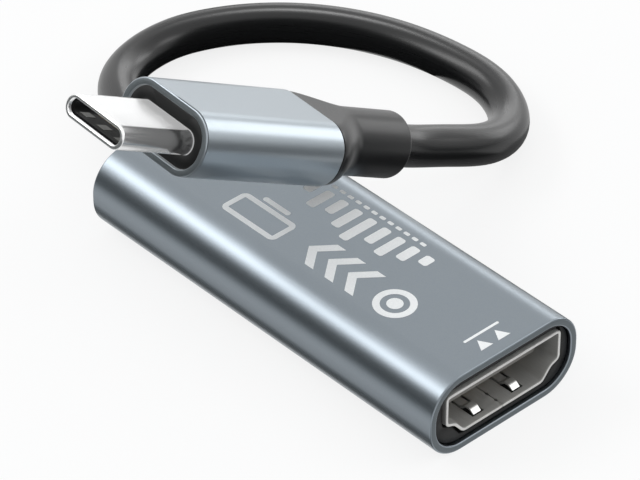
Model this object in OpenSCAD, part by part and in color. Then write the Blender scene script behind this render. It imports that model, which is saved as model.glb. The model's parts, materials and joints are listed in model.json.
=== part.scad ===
// Video capture box: a flat box in an extruded aluminium sleeve, with a 19-pin video socket
// at one end and a short captive cable at the other, which ends in a 24-pin reversible plug.
// Frame: +Z up, +Y from the socket end to the cable end. The origin lies on the resting
// surface, under the middle of the box. All sizes are in millimetres.

/* [Box] */
// Width of the box
case_w = 18.8; // [18.2:0.1:22]
// Height of the box
case_h = 8.8; // [8.6:0.1:11]
// Length of the box
case_l = 47; // [45:0.5:60]
// Corner radius of the box's section
case_r = 4; // [3:0.1:4.2]
// Wall of the extruded sleeve
case_wall = 0.8; // [0.6:0.05:0.9]
// How far the end pieces sit below the sleeve's ends
end_recess = 0.4; // [0.3:0.1:0.8]
// Length of the socket bezel
bezel_l = 6; // [5.8:0.2:8]
// Length of the cable cap
cap_l = 4; // [3:0.5:5]

/* [Video socket] */
// Outer width of the socket's shell
socket_w = 14.6; // [14.4:0.1:15]
// Outer height of the socket's shell
socket_h = 5.15; // [5.05:0.05:5.3]
// Height of the socket's upright sides
socket_side = 3.4; // [3.2:0.1:3.6]
// Width of the ledge on each side of the socket's foot
socket_ledge = 1.1; // [0.9:0.1:1.3]
// Fall of that ledge towards the foot
socket_ledge_drop = 0.4; // [0.2:0.1:0.5]
// Width of the socket's narrow foot
socket_foot_w = 10.2; // [9.8:0.1:10.6]
// Sheet of the socket's shell
socket_sheet = 0.3; // [0.25:0.05:0.35]
// How far back from a corner the sheet starts to bend
socket_bend = 0.45; // [0.4:0.05:0.6]
// Depth of the shell from its mouth to its back
socket_l = 11; // [10.5:0.5:12]
// How far the mouth stands proud of the bezel
socket_proud = 0.3; // [0.1:0.1:0.3]
// Length of the insulator's block at the back of the shell
block_l = 3; // [2.5:0.5:4]
// Width of the tongue
tongue_w = 11.4; // [11:0.1:12]
// Thickness of the tongue
tongue_t = 1.4; // [1.3:0.1:1.6]
// Room above the tongue
tongue_above = 1.05; // [0.95:0.05:1.15]
// How far the tongue's edge lies behind the mouth
tongue_setback = 1.8; // [1:0.1:2.5]
// Spacing of the contacts in a row
contact_pitch = 1; // [0.95:0.05:1.05]
// Width of a contact
contact_w = 0.45; // [0.35:0.05:0.5]
// Thickness of a contact
contact_t = 0.2; // [0.15:0.05:0.25]
// How far a contact stands out of the tongue
contact_proud = 0.06; // [0.03:0.01:0.1]
// Length of a contact's tail on the board
tail_l = 1.4; // [1:0.1:1.6]

/* [Socket latches] */
// Distance of each latch leaf from the socket's middle
latch_x = 2.5; // [2:0.1:3]
// Width of a latch leaf
latch_w = 1; // [0.8:0.1:1.4]
// Length of a latch leaf from its root to its tip
latch_l = 4.6; // [4:0.1:4.8]
// How far the tip of a leaf lies behind the mouth
latch_setback = 0.9; // [0.7:0.1:1]
// Height of the raised pad at the tip
latch_rise = 0.45; // [0.35:0.05:0.5]
// Length of the raised pad
latch_pad = 0.95; // [0.8:0.05:1.1]
// Length of the slope at the pad's front, which a plug rides over
latch_nose = 0.5; // [0.4:0.05:0.6]
// How far that slope falls
latch_fall = 0.4; // [0.3:0.05:0.45]
// Slot around a leaf
latch_slot = 0.2; // [0.15:0.05:0.3]
// Room below a leaf for its travel
latch_room = 0.5; // [0.4:0.05:0.6]

/* [Board] */
// Thickness of the circuit board
board_t = 1; // [0.8:0.1:1.2]
// Depth of the board's rear corners in the cable cap
board_seat = 0.9; // [0.5:0.1:1.2]
// Side of the square capture chip
chip_s = 9; // [7:0.5:10]
// Thickness of the capture chip
chip_t = 0.9; // [0.7:0.1:1.2]
// Width of the memory chip
memory_w = 5; // [4:0.1:5.5]
// Length of the memory chip
memory_l = 6; // [5:0.1:7]
// Thickness of the memory chip
memory_t = 1; // [0.7:0.1:1.2]
// Side of the square voltage regulator
regulator_s = 3; // [2:0.1:3.2]
// Thickness of the voltage regulator
regulator_t = 0.9; // [0.6:0.1:1]
// Side of the square inductor
inductor_s = 3; // [2:0.1:3.2]
// Height of the inductor
inductor_t = 1.8; // [1:0.1:2.4]
// Width of the clock crystal
crystal_w = 3.2; // [2:0.1:3.4]
// Length of the clock crystal
crystal_l = 2.5; // [1.6:0.1:2.7]
// Thickness of the clock crystal
crystal_t = 0.8; // [0.5:0.1:1]
// Width of each line protector
protector_w = 2.5; // [2:0.1:3]
// Length of each line protector
protector_l = 1; // [0.8:0.1:1.3]
// Thickness of each line protector
protector_t = 0.55; // [0.4:0.05:0.8]
// Width of each capacitor
capacitor_w = 1; // [0.6:0.1:1.2]
// Length of each capacitor
capacitor_l = 0.6; // [0.3:0.1:1]
// Thickness of each capacitor
capacitor_t = 0.5; // [0.3:0.05:0.8]
// Width of each resistor
resistor_w = 0.5; // [0.3:0.1:0.8]
// Length of each resistor
resistor_l = 1; // [0.6:0.1:1.2]
// Thickness of each resistor
resistor_t = 0.35; // [0.2:0.05:0.5]

/* [Cable] */
// Diameter of the cable
cable_d = 4.2; // [3.8:0.1:4.6]
// Wall of the rubber gland around the cable
gland_wall = 0.9; // [0.7:0.1:1]
// Length of the gland's nose outside the box
gland_nose = 3; // [2:0.5:3.5]
// Thickness of the gland's flange inside the box
gland_flange_t = 1; // [0.8:0.1:1.5]
// Diameter of a wire inside the box
wire_d = 0.8; // [0.6:0.1:1]
// Length of the wires beyond the jacket's end in the box
wire_l = 2.6; // [2:0.1:3]

/* [Plug] */
// Width of the plug's sleeve
plug_w = 12; // [11.6:0.1:13]
// Thickness of the plug's sleeve
plug_h = 6.5; // [6.2:0.1:7]
// Length of the plug's sleeve
plug_l = 18.4; // [17.5:0.1:20]
// Corner radius of the sleeve's section
plug_r = 3; // [2.4:0.1:3]
// Wall of the plug's sleeve
plug_wall = 0.7; // [0.5:0.05:0.8]
// Depth of the black face below the sleeve's front
face_recess = 0.2; // [0.2:0.1:0.6]
// Thickness of the black face
face_t = 1.5; // [1:0.1:2]
// Width of the steel plug shell
shell_w = 8.25; // [8.2:0.01:8.3]
// Height of the steel plug shell
shell_h = 2.4; // [2.38:0.01:2.45]
// Sheet of the steel plug shell
shell_sheet = 0.2; // [0.15:0.01:0.22]
// Length of the steel shell in front of the sleeve
shell_reach = 8.6; // [6.65:0.05:9]
// Length of the steel shell inside the plug
shell_tail = 9; // [8:0.5:10]
// Setback of the insulator behind the steel mouth
mouth_setback = 0.5; // [0.3:0.1:0.8]
// Width of the slot in the plug's insulator
slot_w = 6.9; // [6.8:0.05:7]
// Height of the slot in the plug's insulator
slot_h = 1.2; // [1.1:0.05:1.25]
// Length of the slot in the plug's insulator
slot_l = 8.2; // [7.5:0.1:9]
// Spacing of the plug's contacts
pin_pitch = 0.5; // [0.48:0.01:0.52]
// Width of a plug contact
pin_w = 0.25; // [0.2:0.01:0.28]
// Thickness of a plug contact
pin_t = 0.15; // [0.1:0.01:0.2]
// Distance of the contacts' tips behind the insulator's edge
pin_setback = 2.8; // [2.6:0.1:3.5]
// Thickness of the small board inside the plug
card_t = 1; // [0.9:0.05:1.05]
// Width of that board
card_w = 7.2; // [6.8:0.1:7.4]
// Length of that board
card_l = 7; // [6:0.1:7.5]
// Diameter of a wire inside the plug
plug_wire_d = 0.6; // [0.4:0.1:0.7]

/* [Strain relief] */
// Diameter of the strain relief
relief_d = 6.6; // [6.2:0.1:7]
// Length of the strain relief outside the sleeve
relief_l = 12.5; // [11.5:0.1:14]
// Length of the flare that meets the sleeve
relief_flare = 5.4; // [4:0.1:6]
// Rounding of the relief's end
relief_round = 0.5; // [0.2:0.1:0.8]
// Step from the sleeve's skin down to the flare
relief_step = 0.1; // [0.05:0.05:0.3]
// Length of the relief's root inside the sleeve
relief_root = 3; // [2.5:0.1:3.2]
// Length of the metal ferrule on the cable's end
ferrule_l = 4.4; // [3:0.1:5]
// Wall of that ferrule
ferrule_wall = 0.35; // [0.25:0.05:0.45]

/* [Plug's resting place] */
// Upward tilt of the plug
plug_tilt = 28.6; // [25:0.1:32]
// Turn of the plug towards the cable end
plug_yaw = 3; // [0:0.5:6]
// Distance from the box's cable end to where the relief leans on its edge
lean_from_end = 17.2; // [15:0.1:20]
// Distance from the sleeve back to that point
lean_back = 7.5; // [6.5:0.1:9]

/* [Hidden] */
$fn = 48;

// Clearance between a piece and the one that it is pushed into
fit_gap = 0.04;
// Clearance at the board's edges
board_gap = 0.15;
// Extra depth of a cut, so that it passes the face that it starts from
cut = 1;

// Box
mid_z = case_h / 2;
front_y = -case_l / 2;
far_y = case_l / 2;
inner_w = case_w - 2 * case_wall;
// Least wall of the bezel at the socket's upper corners, which limits the box's corner radius
bezel_least = 0.3;
side_room = inner_w / 2 - socket_w / 2;
top_room = case_h / 2 - case_wall - socket_h / 2;
corner_limit = side_room + top_room - bezel_least
    + sqrt(2 * max(side_room - bezel_least, 0) * max(top_room - bezel_least, 0));
corner_r = min(case_r, corner_limit + case_wall);
bezel_y = front_y + end_recess;
cap_far_y = far_y - end_recess;
cap_y = cap_far_y - cap_l;

// Socket
mouth_y = bezel_y - socket_proud;
socket_back_y = mouth_y + socket_l;
block_y = socket_back_y - block_l;
socket_top_z = mid_z + socket_h / 2;
socket_foot_z = mid_z - socket_h / 2;
socket_side_z = socket_top_z - socket_side;
socket_outline = [
    [-socket_foot_w / 2, socket_foot_z],
    [socket_foot_w / 2, socket_foot_z],
    [socket_w / 2 - socket_ledge, socket_side_z - socket_ledge_drop],
    [socket_w / 2, socket_side_z],
    [socket_w / 2, socket_top_z],
    [-socket_w / 2, socket_top_z],
    [-socket_w / 2, socket_side_z],
    [-socket_w / 2 + socket_ledge, socket_side_z - socket_ledge_drop]
];
inner_bend = socket_bend - socket_sheet / 2;
ear_l = 2;
ear_h = 1.2;
tongue_top_z = socket_top_z - socket_sheet - tongue_above;
tongue_foot_z = tongue_top_z - tongue_t;
tongue_y = mouth_y + tongue_setback;
contact_setback = 0.25;
upper_contacts = 10;
lower_contacts = 9;
riser_y = block_y + block_l / 3;

// Latch leaves
latch_tip_y = mouth_y + latch_setback;
latch_root_y = latch_tip_y + latch_l;
latch_z = socket_foot_z + socket_sheet / 2;
latch_ramp = 0.7;
pocket_room = 0.05;

// Board
board_front_y = socket_back_y + board_gap;
board_back_y = cap_y + board_seat - board_gap;
board_w = inner_w - 2 * board_gap;
board_top_z = mid_z + board_t / 2;
board_foot_z = mid_z - board_t / 2;
// Room between the parts on the board, and from its edges to them
part_gap = 0.6;
edge_room = 1.25;
tail_room = 0.8;
protector_y = socket_back_y + tail_l + tail_room + protector_l / 2;
protector_x = 2.6;
resistor_y = protector_y + protector_l / 2 + part_gap + resistor_l / 2;
resistor_pitch = 1.4;
resistor_count = 8;
chip_y = resistor_y + resistor_l / 2 + part_gap + chip_s / 2;
capacitor_pitch = 1.6;
capacitor_count = 5;
capacitor_x = chip_s / 2 + part_gap + capacitor_w / 2;
behind_chip_y = chip_y + chip_s / 2 + part_gap;
memory_at = [board_w / 2 - edge_room - memory_w / 2, behind_chip_y + memory_l / 2];
crystal_at = [edge_room + crystal_w / 2 - board_w / 2, behind_chip_y + crystal_l / 2];
regulator_y = behind_chip_y + crystal_l + part_gap + regulator_s / 2;
regulator_at = [edge_room + regulator_s / 2 - board_w / 2, regulator_y];
inductor_y = regulator_y + regulator_s / 2 + part_gap + inductor_s / 2;
inductor_at = [edge_room + inductor_s / 2 - board_w / 2, inductor_y];

// Cable and gland
cable_r = cable_d / 2;
bore_r = cable_r + fit_gap;
neck_r = cable_r + gland_wall;
// Step from the gland's neck up to its flange, and its wall at the tip of its nose
flange_step = 0.5;
nose_wall = 0.4;
flange_r = neck_r + flange_step;
nose_tip_r = cable_r + nose_wall;
gland_y = cap_y - gland_flange_t;
// How far the jacket reaches past the flange, and the board's room around it
jacket_past = 1;
jacket_room = 0.6;
jacket_y = gland_y - jacket_past;
notch_y = jacket_y - jacket_room;
wires_in_row = 3;
wire_pitch = 1.1;

// Plug, in its own frame: +X along the plug towards its mouth, from the sleeve's back end
face_x = plug_l - face_recess - face_t;
shell_x = plug_l - shell_tail;
shell_tip_x = plug_l + shell_reach;
shell_inner_w = shell_w - 2 * shell_sheet;
shell_inner_h = shell_h - 2 * shell_sheet;
insulator_tip_x = shell_tip_x - mouth_setback;
slot_x = insulator_tip_x - slot_l;
// How far the insulator's back lies inside the shell, and the length of a pin's tail behind it
insulator_back = 2;
pin_tail = 1.4;
insulator_x = shell_x + insulator_back;
pin_tail_x = insulator_x - pin_tail;
pin_tip_x = insulator_tip_x - pin_setback;
pins_in_row = 12;
pin_z = card_t / 2;
card_x = insulator_x - fit_gap - card_l;
plug_inner_w = plug_w - 2 * plug_wall;
plug_inner_h = plug_h - 2 * plug_wall;
plug_inner_r = plug_r - plug_wall;
// Room around the board in its chamber, and over the wires that lie on it
card_room = 0.3;
wire_room = 0.2;
chamber_w = card_w + 2 * card_room;
chamber_h = card_t + 2 * (plug_wire_d + wire_room);
jacket_x = ferrule_l / 2;
// How far the wires lie on the board, and their spacing
wire_lap = 2;
plug_wire_x = card_x + wire_lap;
plug_wire_pitch = 1;
spring_count = 3;
spring_pitch = 2.5;
spring_l = 1.2;
spring_w = 1;
spring_setback = 0.5;
spring_proud = 0.1;
plate_t = 0.2;
arm_w = 0.25;
hook_w = 0.3;
hook_l = 0.6;
// Half the latch plate's width, less than half the slot's, and its place in the insulator
arm_inset = 0.15;
arm_y = slot_w / 2 - arm_inset;
arm_setback = 2.1;
plate_inset = 1;

// Strain relief
relief_r = relief_d / 2;
flare_w = plug_w - 2 * relief_step;
flare_h = plug_h - 2 * relief_step;
flare_r = plug_r - relief_step;
flare_rings = 7;
round_rings = 3;
ferrule_r = bore_r + ferrule_wall;
relief_sides = 36;

// Where the plug rests: its relief leans on the box's rounded upper edge
lean_gap = 0.15;
plug_axis = [-cos(plug_tilt) * cos(plug_yaw), cos(plug_tilt) * sin(plug_yaw), sin(plug_tilt)];
lean_normal = unit([plug_axis[2], 0, -plug_axis[0]]);
lean_edge = [case_w / 2 - corner_r, far_y - lean_from_end, case_h - corner_r];
plug_back = lean_edge + (corner_r + relief_r + lean_gap) * lean_normal + lean_back * plug_axis;

// The cable's free loop, as [x, y from the box's cable end, z] of its middle line
loop_points = [
    [0.8, 6.7, 4.2], [2.8, 10, 3.7], [5.1, 13.3, 3], [7.7, 15.8, 2.4], [11.1, 17.4, 2.1],
    [16.3, 17.6, 2.1], [20.2, 16.3, 2.1], [24.2, 13.9, 2.1], [27.6, 10.8, 2.1], [30.5, 6.9, 2.1],
    [32.6, 2.6, 2.1], [33.9, -2, 2.1], [34.4, -5.5, 2.1], [34.1, -11.2, 2.1], [32.6, -14.6, 2.1],
    [29.8, -17.4, 2.6], [25.2, -19, 4], [19.9, -18.3, 6]
];
cable_sides = 12;
// Straight runs of the cable past the gland's nose, and before the relief's end
nose_run = 0.4;
relief_runs = [3, 0];
route = concat(
    [[0, jacket_y, mid_z], [0, far_y + gland_nose + nose_run, mid_z]],
    [for (p = loop_points) [p[0], p[1] + far_y, p[2]]],
    [for (run = relief_runs) on_plug(-relief_l - run)],
    [on_plug(jacket_x)]
);

// Vectors and outlines
function unit(v) = v / norm(v);
function on_plug(x) = plug_back + x * plug_axis;
function left_of(a, b) = let (u = unit(b - a)) [-u[1], u[0]];

// Place of copy i in a row of n copies about its middle
function in_row(i, n, pitch) = (i - (n - 1) / 2) * pitch;

// An anticlockwise outline moved inwards by d
function inset(points, d) = let (n = len(points)) [
    for (i = [0 : n - 1])
        let (p = points[i],
             before = left_of(points[(i + n - 1) % n], p),
             after = left_of(p, points[(i + 1) % n]))
        p + d * (before + after) / (1 + before * after)
];

// An outline with each corner rounded off, starting d before it
function bent(points, d, steps = 4) = let (n = len(points)) [
    for (i = [0 : n - 1])
        let (p = points[i],
             from = p + d * unit(points[(i + n - 1) % n] - p),
             to = p + d * unit(points[(i + 1) % n] - p))
        for (k = [0 : steps])
            let (s = k / steps)
            (1 - s) * (1 - s) * from + 2 * s * (1 - s) * p + s * s * to
];

// Direction of a route at each point, and side vectors that turn with it and don't twist
function tangents(points) = let (n = len(points)) [
    for (i = [0 : n - 1]) unit(points[min(i + 1, n - 1)] - points[max(i - 1, 0)])
];
function square_to(v, t) = unit(v - (v * t) * t);
function sides(t, i = 0, v = [1, 0, 0]) =
    i == len(t) ? [] : let (s = square_to(v, t[i])) concat([s], sides(t, i + 1, s));
function tube_points(points, r, n) = let (t = tangents(points), s = sides(t)) [
    for (i = [0 : len(points) - 1], k = [0 : n - 1])
        let (a = 360 * k / n) points[i] + r * (cos(a) * s[i] + sin(a) * cross(t[i], s[i]))
];
function skin_faces(rings, n) = [
    for (i = [0 : rings - 2], k = [0 : n - 1])
        let (a = i * n + k, b = i * n + (k + 1) % n)
        each [[a, a + n, b], [b, a + n, b + n]]
];
function end_faces(rings, n) = [
    [for (k = [0 : n - 1]) k],
    [for (k = [n - 1 : -1 : 0]) (rings - 1) * n + k]
];

// One ring of the strain relief: a rounded section, a and b off centre, at place x
function relief_ring(x, a, b, r) = [
    for (k = [0 : relief_sides - 1])
        let (t = (k + 0.5) * 360 / relief_sides)
        [x, sign(cos(t)) * a + r * cos(t), sign(sin(t)) * b + r * sin(t)]
];

// The flare opens along an even S, from 0 at the round end to 1 at the sleeve
function flare(u) = u * u * (3 - 2 * u);
function flare_ring(u) = let (g = flare(u)) relief_ring(
    (u - 1) * relief_flare,
    g * (flare_w / 2 - flare_r),
    g * (flare_h / 2 - flare_r),
    relief_r + g * (flare_r - relief_r)
);

// Flat shapes
module rounded_rect(w, h, r) {
    square([w - 2 * r, h], center = true);
    square([w, h - 2 * r], center = true);
    for (x = [-1, 1], y = [-1, 1])
        translate([x * (w / 2 - r), y * (h / 2 - r)]) circle(r);
}

module stadium(w, h) {
    square([w - h, h], center = true);
    for (x = [-1, 1]) translate([x * (w - h) / 2, 0]) circle(h / 2);
}

module span(from, to) translate(from) square(to - from);

// A section drawn in X and Z, from y0 to y1
module along_y(y0, y1)
    translate([0, y1, 0]) rotate([90, 0, 0]) linear_extrude(y1 - y0) children();

// A section drawn in Y and Z, from x0 to x1
module along_x(x0, x1)
    translate([x0, 0, 0]) rotate([90, 0, 90]) linear_extrude(x1 - x0) children();

// A block standing on a face at height z
module on_face(at, size, z) translate([at[0] - size[0] / 2, at[1] - size[1] / 2, z]) cube(size);

module in_plug() translate(plug_back) rotate([0, -plug_tilt, 180 - plug_yaw]) children();

// Box
module case_section(less) translate([0, mid_z])
    rounded_rect(case_w - 2 * less, case_h - 2 * less, corner_r - less);

module case_sleeve() color("#87919a") along_y(front_y, far_y) difference() {
    case_section(0);
    case_section(case_wall);
}

module latch_pocket(x) {
    w = latch_w + 2 * (latch_slot + pocket_room);
    y = latch_tip_y - latch_slot;
    translate([x - w / 2, y, socket_foot_z - latch_room])
        cube([w, bezel_y + bezel_l + cut - y, latch_room + socket_sheet]);
}

module input_bezel() color("#1f2120") difference() {
    along_y(bezel_y, bezel_y + bezel_l) difference() {
        case_section(case_wall + fit_gap);
        polygon(bent(inset(socket_outline, -fit_gap), socket_bend));
    }
    for (x = [-latch_x, latch_x]) latch_pocket(x);
}

module cable_cap() color("#1f2120") difference() {
    along_y(cap_y, cap_far_y) difference() {
        case_section(case_wall + fit_gap);
        translate([0, mid_z]) circle(neck_r + fit_gap);
    }
    w = board_w + 2 * board_gap;
    t = board_t + 2 * fit_gap;
    translate([-w / 2, cap_y - cut, mid_z - t / 2]) cube([w, board_seat + cut, t]);
}

module cable_gland() color("#26282a") {
    neck = far_y - gland_y;
    nose = neck + gland_nose;
    translate([0, gland_y, mid_z]) rotate([-90, 0, 0]) rotate_extrude() polygon([
        [bore_r, 0], [flange_r, 0], [flange_r, gland_flange_t], [neck_r, gland_flange_t],
        [neck_r, neck], [nose_tip_r, nose], [bore_r, nose]
    ]);
}

// Video socket
module latch_window(x) {
    w = latch_w + 2 * latch_slot;
    y0 = latch_tip_y - latch_slot;
    y1 = latch_root_y + socket_sheet / 2 + fit_gap;
    translate([x - w / 2, y0, latch_z - cut / 2]) cube([w, y1 - y0, cut]);
}

module socket_ears() for (x = [-socket_w / 2, socket_w / 2 - socket_sheet])
    translate([x, socket_back_y - cut / 2, board_top_z]) cube([socket_sheet, ear_l + cut / 2, ear_h]);

module socket_shell() color("#c9cccf") {
    difference() {
        along_y(mouth_y, socket_back_y) difference() {
            polygon(bent(socket_outline, socket_bend));
            polygon(bent(inset(socket_outline, socket_sheet), inner_bend));
        }
        for (x = [-latch_x, latch_x]) latch_window(x);
    }
    socket_ears();
}

// A leaf's side view, from its round root at [0, 0] towards its raised tip
module latch_side() {
    h = socket_sheet / 2;
    pad = latch_l - latch_pad;
    ramp = pad - latch_ramp;
    nose = latch_l - latch_nose;
    tip = latch_rise - latch_fall;
    circle(h);
    polygon([
        [0, -h], [0, h], [-ramp, h], [-pad, latch_rise + h], [-nose, latch_rise + h], [-latch_l, tip + h],
        [-latch_l, tip - h], [-nose, latch_rise - h], [-pad, latch_rise - h], [-ramp, -h]
    ]);
}

module socket_latch(x) color("#d4d7da") translate([x - latch_w / 2, latch_root_y, latch_z])
    rotate([90, 0, 90]) linear_extrude(latch_w) latch_side();

module socket_latch_left() socket_latch(-latch_x);

module socket_latch_right() socket_latch(latch_x);

// A contact's side view in Y and Z, grown by g: on the tongue, through the block, on the board
module contact_side(upper, g) {
    strip_z = upper ? tongue_top_z + contact_proud - contact_t : tongue_foot_z - contact_proud;
    tail_z = upper ? board_top_z : board_foot_z - contact_t;
    low = min(strip_z, tail_z);
    high = max(strip_z, tail_z) + contact_t;
    span([tongue_y + contact_setback - g, strip_z - g],
         [riser_y + contact_t + g, strip_z + contact_t + g]);
    span([riser_y - g, low - g], [riser_y + contact_t + g, high + g]);
    span([riser_y - g, tail_z - g], [socket_back_y + tail_l + g, tail_z + contact_t + g]);
}

module contact_row(upper, count, g) for (i = [0 : count - 1])
    translate([in_row(i, count, contact_pitch), 0, 0])
        along_x(-contact_w / 2 - g, contact_w / 2 + g) contact_side(upper, g);

module socket_contacts_upper() color("#d9b45a") contact_row(true, upper_contacts, 0);

module socket_contacts_lower() color("#d9b45a") contact_row(false, lower_contacts, 0);

module socket_insulator() color("#2a2b2c") difference() {
    union() {
        along_y(block_y, socket_back_y)
            polygon(bent(inset(socket_outline, socket_sheet + fit_gap), inner_bend));
        translate([-tongue_w / 2, tongue_y, tongue_foot_z])
            cube([tongue_w, block_y + cut - tongue_y, tongue_t]);
    }
    contact_row(true, upper_contacts, fit_gap / 2);
    contact_row(false, lower_contacts, fit_gap / 2);
}

// Board and what it carries
module main_board() color("#1d5c3a") difference() {
    translate([-board_w / 2, board_front_y, board_foot_z])
        cube([board_w, board_back_y - board_front_y, board_t]);
    translate([-flange_r - board_gap, notch_y, board_foot_z - cut])
        cube([2 * (flange_r + board_gap), board_back_y + cut - notch_y, board_t + 2 * cut]);
}

module capture_chip() color("#202123") on_face([0, chip_y], [chip_s, chip_s, chip_t], board_top_z);

module memory_chip() color("#27282a")
    on_face(memory_at, [memory_w, memory_l, memory_t], board_top_z);

module voltage_regulator() color("#2b2c2e")
    on_face(regulator_at, [regulator_s, regulator_s, regulator_t], board_top_z);

module power_inductor() color("#5b5e62")
    on_face(inductor_at, [inductor_s, inductor_s, inductor_t], board_top_z);

module clock_crystal() color("#c3c6c9")
    on_face(crystal_at, [crystal_w, crystal_l, crystal_t], board_top_z);

module line_protectors() color("#232426") for (x = [-protector_x, protector_x])
    on_face([x, protector_y], [protector_w, protector_l, protector_t], board_top_z);

module chip_capacitors() color("#b79a6b")
    for (x = [-capacitor_x, capacitor_x], i = [0 : capacitor_count - 1])
        on_face([x, chip_y + in_row(i, capacitor_count, capacitor_pitch)],
                [capacitor_w, capacitor_l, capacitor_t], board_top_z);

module chip_resistors() color("#1b1b1d") for (i = [0 : resistor_count - 1])
    on_face([in_row(i, resistor_count, resistor_pitch), resistor_y],
            [resistor_w, resistor_l, resistor_t], board_top_z);

module thermal_pad() color("#9fb4c4") {
    chip_top_z = board_top_z + chip_t;
    on_face([0, chip_y], [chip_s, chip_s, case_h - case_wall - chip_top_z], chip_top_z);
}

module board_wires() color("#b03a30")
    for (i = [0 : wires_in_row - 1], z = [board_top_z + wire_d / 2, board_foot_z - wire_d / 2])
        translate([in_row(i, wires_in_row, wire_pitch), jacket_y, z]) rotate([90, 0, 0])
            cylinder(h = wire_l, d = wire_d);

// Cable
module cable() color("#2b2d2f") polyhedron(
    points = tube_points(route, cable_r, cable_sides),
    faces = concat(skin_faces(len(route), cable_sides), end_faces(len(route), cable_sides))
);

module cable_ferrule() color("#b9bdc1") in_plug() along_x(-ferrule_l / 2, ferrule_l / 2) difference() {
    circle(ferrule_r);
    circle(bore_r);
}

// The relief's skin runs along its outside to the sleeve, over its root and back through its bore
module strain_relief() color("#26282a") in_plug() {
    socket = -ferrule_l / 2;
    seat_r = ferrule_r + fit_gap;
    root_w = plug_inner_w / 2 - plug_inner_r - fit_gap;
    root_h = plug_inner_h / 2 - plug_inner_r - fit_gap;
    rings = concat(
        [relief_ring(-relief_l, 0, 0, relief_r - relief_round)],
        [for (i = [1 : round_rings])
            let (a = 90 * i / round_rings)
            relief_ring(relief_round * (1 - cos(a)) - relief_l, 0, 0,
                        relief_r - relief_round * (1 - sin(a)))],
        [for (i = [0 : flare_rings]) flare_ring(i / flare_rings)],
        [for (x = [0, relief_root]) relief_ring(x, root_w, root_h, plug_inner_r)],
        [for (x = [relief_root, socket]) relief_ring(x, 0, 0, seat_r)],
        [for (x = [socket, -relief_l]) relief_ring(x, 0, 0, bore_r)]
    );
    n = len(rings);
    points = [for (ring = rings) each ring];
    last = [for (k = [0 : relief_sides - 1])
        let (a = (n - 1) * relief_sides + k, b = (n - 1) * relief_sides + (k + 1) % relief_sides)
        each [[a, k, b], [b, k, (k + 1) % relief_sides]]
    ];
    polyhedron(points = points, faces = concat(skin_faces(n, relief_sides), last));
}

// Plug
module plug_section(less) rounded_rect(plug_w - 2 * less, plug_h - 2 * less, plug_r - less);

module plug_sleeve() color("#aab3ba") in_plug() along_x(0, plug_l) difference() {
    plug_section(0);
    plug_section(plug_wall);
}

module plug_face() color("#1f2120") in_plug() along_x(face_x, face_x + face_t) difference() {
    plug_section(plug_wall + fit_gap);
    stadium(shell_w + 2 * fit_gap, shell_h + 2 * fit_gap);
}

module plug_inner_mould() color("#3a3c3e") in_plug() difference() {
    along_x(relief_root, face_x) plug_section(plug_wall + fit_gap);
    along_x(shell_x - fit_gap, face_x + cut) stadium(shell_w + 2 * fit_gap, shell_h + 2 * fit_gap);
    along_x(relief_root - cut, shell_x) square([chamber_w, chamber_h], center = true);
}

module plug_board() color("#1d5c3a") in_plug()
    translate([card_x, -card_w / 2, -card_t / 2]) cube([card_l, card_w, card_t]);

module plug_wires() color("#b03a30") in_plug() for (i = [0 : wires_in_row - 1], z = [-1, 1])
    translate([jacket_x, in_row(i, wires_in_row, plug_wire_pitch), z * (card_t + plug_wire_d) / 2])
        rotate([0, 90, 0]) cylinder(h = plug_wire_x - jacket_x, d = plug_wire_d);

module plug_shell() color("#d8dadc") in_plug() along_x(shell_x, shell_tip_x) difference() {
    stadium(shell_w, shell_h);
    stadium(shell_inner_w, shell_inner_h);
}

module pin_row(upper, g) {
    z = upper ? pin_z : -pin_z - pin_t;
    for (i = [0 : pins_in_row - 1])
        translate([pin_tail_x - g, in_row(i, pins_in_row, pin_pitch) - pin_w / 2 - g, z - g])
            cube([pin_tip_x - pin_tail_x + 2 * g, pin_w + 2 * g, pin_t + 2 * g]);
}

module plug_contacts_upper() color("#d9b45a") in_plug() pin_row(true, 0);

module plug_contacts_lower() color("#d9b45a") in_plug() pin_row(false, 0);

// The pads of the ground springs reach from the steel shell through the insulator's walls
module spring_pads(g) {
    low = slot_h / 2 - spring_proud;
    high = shell_inner_h / 2;
    for (i = [0 : spring_count - 1], up = [0, 1]) mirror([0, 0, up])
        translate([insulator_tip_x - spring_setback - spring_l - g,
                   in_row(i, spring_count, spring_pitch) - spring_w / 2 - g, low - g])
            cube([spring_l + 2 * g, spring_w + 2 * g, high - low + g]);
}

module plug_ground_springs() color("#cfd2d5") in_plug() spring_pads(0);

// The latch plate lies in the insulator's middle, with a hooked arm along each side of the slot
module latch_plate(g) {
    root_x = insulator_x + plate_inset;
    tip_x = insulator_tip_x - arm_setback;
    t = plate_t + 2 * g;
    translate([root_x - g, -arm_y - g, -t / 2]) cube([slot_x - root_x + 2 * g, 2 * (arm_y + g), t]);
    for (side = [0, 1]) mirror([0, side, 0]) {
        translate([root_x, arm_y - arm_w, -t / 2]) cube([tip_x - root_x, arm_w, t]);
        translate([tip_x - hook_l, arm_y - arm_w - hook_w, -t / 2]) cube([hook_l, arm_w + hook_w, t]);
    }
}

module plug_latch_plate() color("#c3c6c9") in_plug() latch_plate(0);

module plug_insulator() color("#2a2b2c") in_plug() difference() {
    along_x(insulator_x, insulator_tip_x)
        stadium(shell_inner_w - 2 * fit_gap, shell_inner_h - 2 * fit_gap);
    along_x(slot_x, insulator_tip_x + cut) stadium(slot_w, slot_h);
    pin_row(true, fit_gap / 2);
    pin_row(false, fit_gap / 2);
    spring_pads(fit_gap);
    latch_plate(fit_gap / 2);
}

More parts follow.
